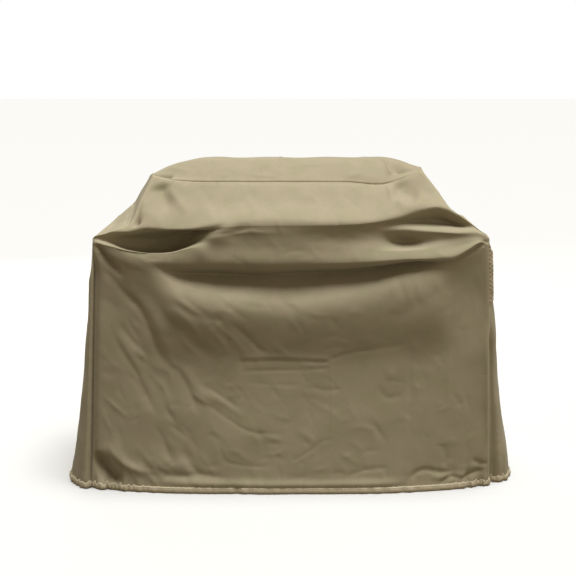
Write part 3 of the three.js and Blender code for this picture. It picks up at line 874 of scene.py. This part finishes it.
def material(name, base, roughness=0.85, weave=0.14, pitch=0.006905, mottle=0.06, sheen=0.03):
    """Woven cloth: crossed waves a pitch apart in the bump, slubs and soft mottling in the colour."""
    made = bpy.data.materials.new(name)
    made.use_nodes = True
    tree = made.node_tree
    shader = tree.nodes["Principled BSDF"]
    shader.inputs["Sheen Weight"].default_value = sheen
    shader.inputs["Sheen Roughness"].default_value = 0.5
    shader.inputs["Specular IOR Level"].default_value = 0.3

    def node(kind, inputs, **settings):
        """The outputs of a new node, whose inputs are numbers, colours or other nodes' outputs."""
        new = tree.nodes.new("ShaderNode" + kind)
        for key, value in settings.items():
            setattr(new, key, value)
        for key, value in inputs.items():
            if isinstance(value, bpy.types.NodeSocket):
                tree.links.new(value, new.inputs[key])
            else:
                new.inputs[key].default_value = value
        return new.outputs

    place = node("Attribute", {}, attribute_name="thread")["Vector"]
    worn = node("Attribute", {}, attribute_name="wear")["Fac"]

    def noise(u, v, detail):
        scaled = node("VectorMath", {0: place, 1: (u, v, 1)}, operation="MULTIPLY")["Vector"]
        return node("TexNoise", {"Vector": scaled, "Scale": 1, "Detail": detail})["Fac"]

    def waves(direction):
        scale = math.tau / (WAVE_RADIANS * pitch)
        inputs = {"Vector": place, "Scale": scale, "Distortion": 0.6, "Detail": 1}
        return node("TexWave", inputs, bands_direction=direction)["Fac"]

    def combine(operation, a, b):
        return node("Math", {0: a, 1: b}, operation=operation)["Value"]

    def ranged(value, low, high, to_low, to_high):
        limits = {"From Min": low, "From Max": high, "To Min": to_low, "To Max": to_high}
        return node("MapRange", {"Value": value, **limits})["Result"]

    def mixed(share, first, second, way="MIX"):
        return node("MixRGB", {"Fac": share, "Color1": first, "Color2": second}, blend_type=way)["Color"]

    crossed = combine("MULTIPLY", waves("X"), waves("Y"))
    slub = combine("ADD", noise(40, 420, 3), noise(420, 40, 3))
    surface = combine("ADD", crossed, combine("MULTIPLY", slub, 0.8))
    bump = node("Bump", {"Strength": weave, "Distance": WEAVE_DEEP, "Height": surface})["Normal"]
    tree.links.new(bump, shader.inputs["Normal"])

    warm = (base[0] * (1 + mottle), base[1] * (1 + 0.4 * mottle), base[2] * (1 + mottle), 1)
    olive = (base[0] * (1 - mottle), base[1] * (1 - 0.6 * mottle), base[2] * (1 - 1.3 * mottle), 1)
    cloud = mixed(ranged(noise(11, 14, 5), 0.35, 0.65, 0, 1), warm, olive)
    streak = ranged(slub, 0.6, 1.4, 1 - 0.9 * mottle, 1 + 0.9 * mottle)
    rubbed = combine("MULTIPLY", worn, combine("MULTIPLY", noise(45, 45, 4), 0.75))
    pale = (*[min(1, PALER * c) for c in base], 1)
    colour = mixed(rubbed, mixed(1, cloud, streak, "MULTIPLY"), pale)
    tree.links.new(colour, shader.inputs["Base Color"])

    gloss = ranged(noise(30, 30, 3), 0, 1, roughness - 0.08, min(1, roughness + 0.08))
    tree.links.new(gloss, shader.inputs["Roughness"])
    return made


cloth = material("cloth", (0.292, 0.256, 0.17))
hem_cloth = material("hem_cloth", (0.4, 0.35, 0.245))
tape = material("tape", (0.25, 0.215, 0.145), weave=0.5, pitch=0.01)
rubber_band = material("rubber_band", (0.17, 0.16, 0.15), weave=0.8, pitch=0.0138)
thread_finish = material("thread_finish", (0.36, 0.31, 0.21), weave=0.5, pitch=0.0044)
pale_thread = material("pale_thread", (0.6, 0.53, 0.4), weave=0.5, pitch=0.0044)


# ---- pieces ----------------------------------------------------------------------------------

def soft_mesh(name, grid, flip, finish, wear=None, thickness=CLOTH, closed=False):
    """A sheet of cloth on a grid, with its threads' places and its wear, solid through its thickness."""
    rows, columns = grid.shape[:2]
    index = np.arange(rows * columns).reshape(rows, columns)
    if closed:
        index = np.concatenate([index, index[:, :1]], axis=1)
    faces = grid_faces(index)
    piece = make(name, grid, faces[:, ::-1] if flip else faces)
    flat = threads(grid)
    flat = np.concatenate([flat, np.zeros((rows, columns, 1))], axis=2)
    piece.data.attributes.new("thread", "FLOAT_VECTOR", "POINT").data.foreach_set("vector", flat.ravel())
    worn = np.zeros((rows, columns)) if wear is None else wear
    piece.data.attributes.new("wear", "FLOAT", "POINT").data.foreach_set("value", worn.ravel())
    piece.data.materials.append(finish)
    if thickness:
        modifier = piece.modifiers.new("thickness", "SOLIDIFY")
        modifier.thickness = thickness
        modifier.offset = -1
    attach(piece, "root")
    return piece


WEAR_REACH = 2.5


def edge_wear(shape):
    """The cloth is paler and rubbed along its edges."""
    nearest = np.minimum(from_ends(shape[0])[:, None], from_ends(shape[1]))
    return np.exp(-nearest / WEAR_REACH)


last = len(band) - 1
PANELS = [
    ("front_panel", front, False),
    ("back_panel", back, True),
    ("left_side_panel", band[:SHELF_ROW + 1], True),
    ("left_shoulder_panel", band[SHELF_ROW:STEP_ROW + 1], True),
    ("hood_panel", band[STEP_ROW:last - STEP_ROW + 1], True),
    ("right_shoulder_panel", band[last - STEP_ROW:last - SHELF_ROW + 1], True),
    ("right_side_panel", band[last - SHELF_ROW:], True),
]
for node, grid, flip in PANELS:
    piece = soft_mesh(node + "_cloth", grid, flip, cloth, edge_wear(grid.shape[:2]))
    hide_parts(node)


# ---- the hem: a rolled band of the same cloth ------------------------------------------------

HEM_PROFILE = [  # (outwards, height)
    (0.0016, 0.0235), (0.0034, 0.019), (0.0046, 0.013), (0.0046, 0.007), (0.003, 0.0028),
    (0.0, 0.0012), (-0.003, 0.0028), (-0.0044, 0.008), (-0.0042, 0.015), (-0.003, 0.0225),
]
HEM_CLOTH = 0.001
HEM_WEAR = 0.35
HEM_HALVINGS = 2
HEM_SWELL = 0.25  # how unevenly thick the roll is
PUCKER_LOW = 0.4  # the share of the puckers at the bottom of the roll
PUCKER_GROWTH = 25  # how much that share grows in a metre of height
PUCKER_LIFT = 0.8
LIFT_FROM, LIFT_FULL = 0.004, 0.02  # heights on the roll between which the lift sets in
hem_loop = bottom_edge()
for _ in range(HEM_HALVINGS):
    wrapped = np.concatenate([hem_loop[-2:], hem_loop, hem_loop[:3]])
    fine = halved(wrapped, 0)
    hem_loop = fine[4:4 + 2 * len(hem_loop)]
hem_parts = loop_parts * 2 ** HEM_HALVINGS
hem_sides = [slice(start, end + 1) for start, end in zip(hem_parts[:-1], hem_parts[1:])]
hem_s, hem_length = around_loop(hem_loop)
hem_s = hem_s * loop_length / hem_length
hem_out = loop_out(hem_loop, 30)
pucker = ripple(hem_s, length=0.0125, seed=41, slack=0.0002, more=0.0026)
lift = ripple(hem_s, length=0.021, seed=42, slack=0.0006, more=0.0036)
swell = 1 + HEM_SWELL * waves_along(hem_s, length=0.05, seed=43)
hem_rings = []
for outwards, up in HEM_PROFILE:
    # the puckers grow towards the top of the roll, and lift it
    ring = hem_loop + hem_out * (outwards * swell + pucker * (PUCKER_LOW + PUCKER_GROWTH * up))[:, None]
    ring[:, 2] = up + lift * smooth(up, LIFT_FROM, LIFT_FULL) + abs(pucker) * PUCKER_LIFT
    hem_rings.append(back_to_start(ring))
hem_grid = np.array(hem_rings)
for side, columns in zip(("front", "right", "back", "left"), hem_sides):
    strip = hem_grid[:, columns]
    wear = np.full(strip.shape[:2], HEM_WEAR)
    piece = soft_mesh(side + "_hem_roll", strip, True, hem_cloth, wear, thickness=HEM_CLOTH)
    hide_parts(side + "_hem_channel")


def ribbon(name, path, out, wide, thick, finish, corners=10, taper=0):
    """A flat tape along a path, which narrows over its last taper points.

    out is the direction of its width, and the tape is narrower where out is shorter.
    """
    full = np.clip((from_ends(len(path)) + 1) / (taper + 1), 0, 1)[:, None]
    face = unit(np.cross(unit(np.gradient(path, axis=0)), out))
    grid = []
    for angle in np.arange(corners) * math.tau / corners:
        right, up = math.cos(angle), math.sin(angle)
        # a rounded box
        over = math.copysign(abs(right) ** 0.5, right) * wide / 2
        above = math.copysign(abs(up) ** 0.7, up) * thick / 2
        grid.append(path + (out * over + face * above) * full)
    return soft_mesh(name, np.array(grid).transpose(1, 0, 2), False, finish, thickness=0, closed=True)


BIND_DEPTH = 0.0065
BIND_WIDE = 0.009
BIND_THICK = 0.0018


def evened(directions, passes=5):
    """Unit vectors along a line, smoothed round its corners."""
    for _ in range(passes):
        inner = (directions[:-2] + directions[1:-1] + directions[2:]) / 3
        directions = np.concatenate([directions[:1], inner, directions[-1:]])
    return unit(directions)


band_in = normals(band)
# into the object, half way between two panels' inward normals
front_in = evened(unit(around(-normals(front)) + band_in[:, 0]))
back_in = evened(unit(around(normals(back)) + band_in[:, -1]))
seam_trim = slice(6, -6)
for side, line, into in (("front", band[:, 0], front_in), ("back", band[:, -1], back_in)):
    path = (line + into * BIND_DEPTH)[seam_trim]
    piece = ribbon(side + "_seam_tape", path, into[seam_trim], BIND_WIDE, BIND_THICK, tape)
    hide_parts(side + "_seam_binding")
side_trim = slice(5, -5)
for name, row in (("shelf", SHELF_ROW), ("step", STEP_ROW)):
    for side, place in (("left", row), ("right", last - row)):
        into = evened(band_in[place, side_trim])
        path = band[place, side_trim] + into * BIND_DEPTH
        piece = ribbon(f"{side}_{name}_seam_tape", path, into, BIND_WIDE, BIND_THICK, tape)
        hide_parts(f"{side}_{name}_seam_binding")

# the elastic inside the hem, at each corner
ELASTIC_HEIGHT = 0.0125
ELASTIC_WIDE = 0.007
ELASTIC_THICK = 0.0016
ELASTIC_IN = 0.0024  # how far inside the panels' edge it lies
ELASTIC_RIPPLE = 0.0008
ELASTIC_TURN = 400  # radians of the ripple in a metre
for name, s0 in zip(("front_left", "front_right", "back_right", "back_left"), corner_s):
    gap = (hem_s - s0 + loop_length / 2) % loop_length - loop_length / 2
    picked = np.nonzero(abs(gap) < GATHER)[0]
    picked = picked[np.argsort(gap[picked])]
    path = hem_loop[picked] - hem_out[picked] * ELASTIC_IN
    path[:, 2] = ELASTIC_HEIGHT + ELASTIC_RIPPLE * np.sin(gap[picked] * ELASTIC_TURN)
    up = np.tile([0.0, 0.0, 1.0], (len(path), 1))
    piece = ribbon(name + "_elastic_band", path, up, ELASTIC_WIDE, ELASTIC_THICK, rubber_band)
    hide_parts(name + "_hem_elastic")


# ---- stitching -------------------------------------------------------------------------------

def spaced(path, pitch):
    """Places every pitch metres along a path, and the number of the path's point before each."""
    along = summed(np.linalg.norm(np.diff(path, axis=0), axis=1))
    marks = np.arange(pitch / 2, along[-1], pitch)
    before = np.clip(np.searchsorted(along, marks, side="right") - 1, 0, len(path) - 2)
    share = ((marks - along[before]) / (along[before + 1] - along[before]))[:, None]
    return path[before] * (1 - share) + path[before + 1] * share, before


# the rings of a stitch: (along, fatness, lift), as shares of its length and thickness
STITCH_RINGS = [(-0.5, 0.35, -0.4), (-0.28, 0.9, 0.25), (0.28, 0.9, 0.25), (0.5, 0.35, -0.4)]
STITCH_SIDES = 6


def stitches(name, paths, finish, pitch=0.0042, length=0.0033, thick=0.0011):
    """Lock stitches laid on the cloth along paths, each given as (points, outward unit vectors)."""
    points, faces = [], []
    for path, out in paths:
        middle, before = spaced(path, pitch)
        ahead = unit(path[before + 1] - path[before])
        up = out[before]
        side = np.cross(ahead, up)
        for place, a, u, w in zip(middle, ahead, up, side):
            start = len(points)
            for along, fat, lift in STITCH_RINGS:
                for k in range(STITCH_SIDES):
                    turn = k * math.tau / STITCH_SIDES
                    points.append(place + a * along * length + u * (lift * thick)
                                  + (u * math.sin(turn) + w * math.cos(turn)) * fat * thick / 2)
            for ring in range(len(STITCH_RINGS) - 1):
                for k in range(STITCH_SIDES):
                    p = start + ring * STITCH_SIDES + k
                    q = start + ring * STITCH_SIDES + (k + 1) % STITCH_SIDES
                    faces.append([p, q, q + STITCH_SIDES, p + STITCH_SIDES])
            faces.append([start + k for k in reversed(range(STITCH_SIDES))])
            last = start + (len(STITCH_RINGS) - 1) * STITCH_SIDES
            faces.append([last + k for k in range(STITCH_SIDES)])
    mesh = bpy.data.meshes.new(name)
    mesh.from_pydata([tuple(p) for p in points], [], faces)
    piece = bpy.data.objects.new(name, mesh)
    bpy.context.scene.collection.objects.link(piece)
    piece.data.materials.append(finish)
    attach(piece, "root")
    return piece


front_n, back_n, band_n = normals(front), -normals(back), -normals(band)
along_roof = slice(3, -3)
along_side = slice(6, -6)
seam_stitches = [(grid[-2, along_roof], out[-2, along_roof])
                 for grid, out in ((front, front_n), (back, back_n))]
for row in (STEP_ROW, SHELF_ROW):
    for place in (row + 1, last - 1 - row):
        seam_stitches.append((band[place, along_side], band_n[place, along_side]))
top_stitching = stitches("seam_topstitching", seam_stitches, thread_finish)

# the seam's raw edge, which stands out beside the right shelf and is overlocked
RAW_WIDE = 0.0135
RAW_THICK = 0.0014
RAW_LOW, RAW_LOW_FADE = 0.655, 0.02
RAW_HIGH, RAW_HIGH_FADE = 0.872, 0.04
RAW_OUT = 0.4  # the share of its width at which its middle stands out
RAW_LEAN = -0.3  # how far it leans to the front
RAW_END = 0.1  # the share of its width at its ends
RAW_TWIST = 0.25
RAW_TWIST_TURN = 90  # radians of the twist in a metre
ZIGZAG_STEP = 0.0074
ZIGZAG_REACH = 0.0052
seam_line = front[:, -1]
raw_rows = np.nonzero((seam_line[:, 2] > RAW_LOW) & (seam_line[:, 2] < RAW_HIGH))[0]
raw_rows = raw_rows[raw_rows < SHELF_ROW]
raw_line = seam_line[raw_rows]
raw_height = raw_line[:, 2:]
raw_out = evened(band_n[::-1][raw_rows, 0] + RAW_LEAN * front_n[raw_rows, -1], 20)
raw_out = unit(raw_out + RAW_TWIST * np.sin(raw_height * RAW_TWIST_TURN) * front_n[raw_rows, -1])
# it narrows towards both ends
raw_share = smooth(raw_height, RAW_LOW, RAW_LOW + RAW_LOW_FADE)
raw_share *= 1 - smooth(raw_height, RAW_HIGH - RAW_HIGH_FADE, RAW_HIGH)
raw_out *= RAW_END + (1 - RAW_END) * raw_share
raw_middle = raw_line + raw_out * RAW_OUT * RAW_WIDE
raw_edge = ribbon("front_seam_raw_edge", raw_middle, raw_out, RAW_WIDE, RAW_THICK, hem_cloth)
middle, before = spaced(raw_line, ZIGZAG_STEP)
turns = np.where(np.arange(len(before)) % 2 == 0, 1.0, -1.0)[:, None]
face = unit(np.cross(np.gradient(middle, axis=0), raw_out[before]))
zigzag = middle + raw_out[before] * (RAW_OUT * RAW_WIDE + turns * ZIGZAG_REACH)
both_faces = [(zigzag + side * face * RAW_THICK / 2, side * face) for side in (1, -1)]
overlocking = stitches("seam_overlocking", both_faces, pale_thread,
                       pitch=math.hypot(ZIGZAG_STEP, 2 * ZIGZAG_REACH), length=0.0105, thick=0.0032)

# the same seam stands up as a narrow edge along the right shoulder
FIN_WIDE = 0.005
FIN_THICK = 0.0024
FIN_OUT = 0.1
FIN_LEAN = 0.5
fin_rows = np.arange(SHELF_ROW + 2, STEP_ROW + 1)
fin_out = evened(band_n[::-1][fin_rows, 0] + FIN_LEAN * front_n[fin_rows, -1], 10)
fin_middle = seam_line[fin_rows] + fin_out * FIN_OUT * FIN_WIDE
fin = ribbon("right_shoulder_seam_edge", fin_middle, fin_out, FIN_WIDE, FIN_THICK, hem_cloth,
             taper=6)

HEM_STITCH_RING = 1
hem_out_round = back_to_start(hem_out)
hem_stitch_lines = [(hem_grid[HEM_STITCH_RING, columns], hem_out_round[columns]) for columns in hem_sides]
hem_stitching = stitches("hem_topstitching", hem_stitch_lines, thread_finish)


# ---- stage -----------------------------------------------------------------------------------

FLOOR_REACH = 60
corners = [(x * FLOOR_REACH, y * FLOOR_REACH, 0) for x, y in ((-1, -1), (1, -1), (1, 1), (-1, 1))]
floor = make("floor", corners, [(0, 1, 2, 3)])
floor_material = bpy.data.materials.new("floor")
floor_material.use_nodes = True
floor_shader = floor_material.node_tree.nodes["Principled BSDF"]
floor_shader.inputs["Base Color"].default_value = (0.57, 0.57, 0.57, 1)
floor_shader.inputs["Roughness"].default_value = 0.9
floor.data.materials.append(floor_material)
floor.visible_diffuse = False

world = bpy.data.worlds.new("studio")
world.use_nodes = True
nodes, links = world.node_tree.nodes, world.node_tree.links
# a warm dim light on the object, in front of a white backdrop
glow = nodes["Background"]
glow.inputs["Color"].default_value = (1, 0.82, 0.58, 1)
glow.inputs["Strength"].default_value = 0.25
backdrop = nodes.new("ShaderNodeBackground")
backdrop.inputs["Color"].default_value = (1, 1, 1, 1)
seen = nodes.new("ShaderNodeLightPath")
blend = nodes.new("ShaderNodeMixShader")
links.new(seen.outputs["Is Camera Ray"], blend.inputs["Fac"])
links.new(glow.outputs["Background"], blend.inputs[1])
links.new(backdrop.outputs["Background"], blend.inputs[2])
links.new(blend.outputs["Shader"], nodes["World Output"].inputs["Surface"])
bpy.context.scene.world = world


def aimed(name, data, place, target):
    """A lamp or camera at a place, turned to a target."""
    thing = bpy.data.objects.new(name, data)
    bpy.context.scene.collection.objects.link(thing)
    thing.location = place
    thing.rotation_euler = (Vector(target) - Vector(place)).to_track_quat("-Z", "Y").to_euler()
    return thing


def light(name, kind, place, target, power, colour):
    data = bpy.data.lights.new(name, kind)
    data.energy = power
    data.color = colour
    aimed(name, data, place, target)
    return data


sun = light("top_light", "SUN", (0, 0, 0), (-0.11, 0.18, -1), 4.9, (0.98, 1.0, 1.0))
sun.angle = math.radians(38)
MIDDLE = (0, 0, 0.5)
WARM = (1.0, 0.9, 0.75)
for name, place, size, power in (
    ("front_light", (3.0, -3.6, 1.6), (2.0, 2.0), 26),
    ("back_light", (-1.5, 4.6, 2.2), (3.0, 2.0), 60),
):
    panel = light(name, "AREA", place, MIDDLE, power, WARM)
    panel.shape = "RECTANGLE"
    panel.size, panel.size_y = size

CAMERA_DISTANCE = 4.5
CAMERA_HEIGHT = 1.45
AIM_HEIGHT = 0.668
camera_data = bpy.data.cameras.new("camera")
camera_data.sensor_width = 36
camera_data.lens = 78.5
camera_data.shift_x = -0.0052
camera = aimed("camera", camera_data, (0, -CAMERA_DISTANCE, CAMERA_HEIGHT), (0, 0, AIM_HEIGHT))
bpy.context.scene.camera = camera
bpy.context.scene.view_settings.view_transform = "Standard"
